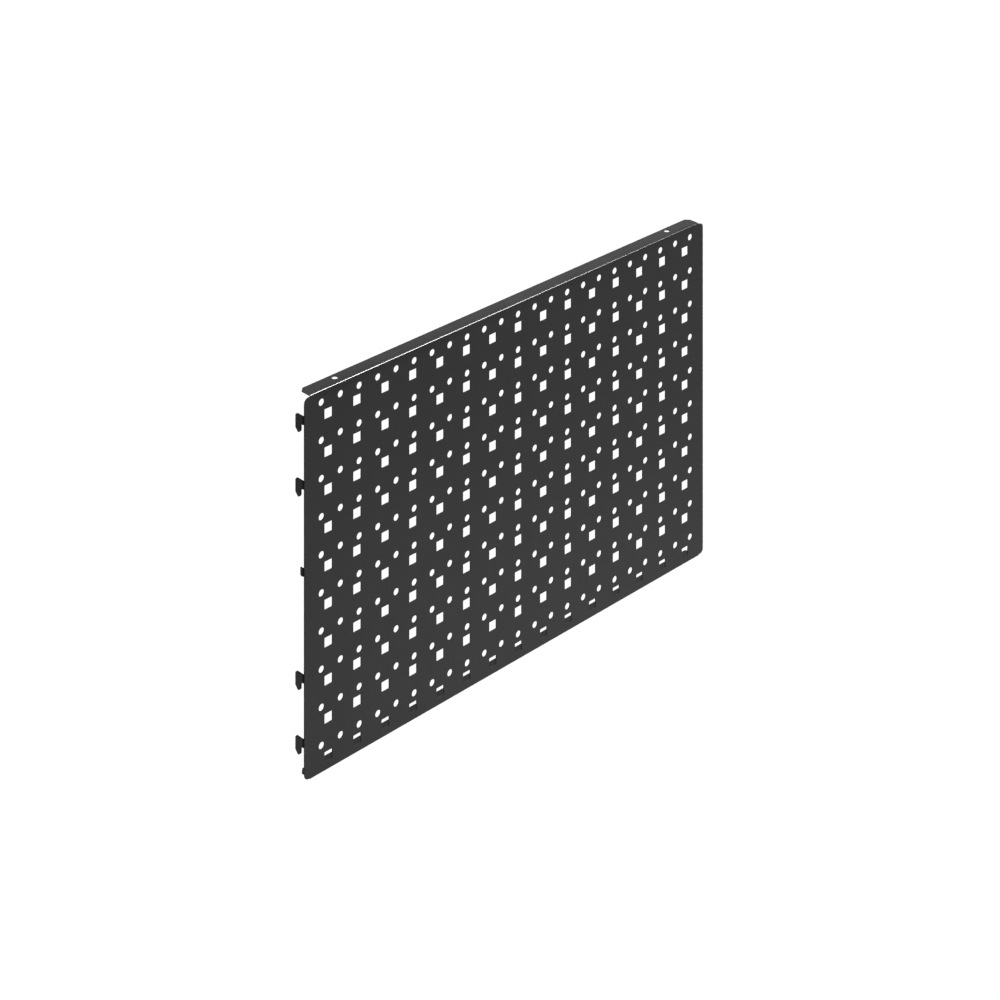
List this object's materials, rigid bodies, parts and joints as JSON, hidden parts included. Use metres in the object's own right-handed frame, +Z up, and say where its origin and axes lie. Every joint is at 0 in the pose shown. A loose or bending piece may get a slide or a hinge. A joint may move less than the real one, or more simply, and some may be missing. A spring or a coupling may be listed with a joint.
{
  "type": "pegboard tool wall panel",
  "caption": "Folded sheet-steel pegboard panel with rows of round and square peg holes, top and bottom flanges, and side hooks that hang it on slotted wall rails.",
  "frame": {"origin": "mid-width and mid-height of the panel, in the plane where the hook strips lie against the wall rails", "axes": "+X to the right along the wall as seen from the front, +Y into the wall, +Z up; the face looks along -Y"},
  "size_m": [0.596, 0.018, 0.381],
  "materials": {
    "black_powder_coat": "satin, fine texture"
  },
  "bodies": {
    "root": {"face_panel": "black_powder_coat", "left_hook_strip": "black_powder_coat", "right_hook_strip": "black_powder_coat"}
  },
  "joints": []
}
